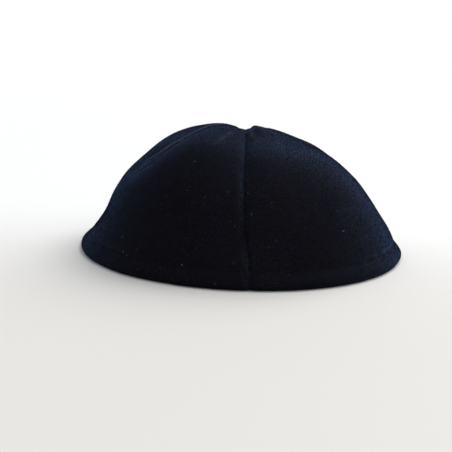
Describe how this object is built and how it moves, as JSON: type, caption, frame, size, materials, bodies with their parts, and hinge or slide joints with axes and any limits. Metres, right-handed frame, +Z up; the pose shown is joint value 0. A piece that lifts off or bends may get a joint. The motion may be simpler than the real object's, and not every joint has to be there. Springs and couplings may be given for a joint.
{
  "type": "kippah skullcap",
  "caption": "Brimless velvet skullcap, a low dome of sewn panels with seams meeting at the crown and a turned hem round the rim, worn on the crown of the head.",
  "frame": {"origin": "middle of the rim at its underside, where the cap rests on a flat surface", "axes": "+Z up through the crown, -Y towards the front seam, +X to the wearer's left when the front seam is at the forehead"},
  "size_m": [0.1699, 0.1699, 0.0653],
  "materials": {
    "velvet": "short dense velvet pile, black with a blue cast"
  },
  "bodies": {
    "root": {"panel_front_right": "velvet", "panel_back_right": "velvet", "panel_back_left": "velvet", "panel_front_left": "velvet"}
  },
  "joints": []
}
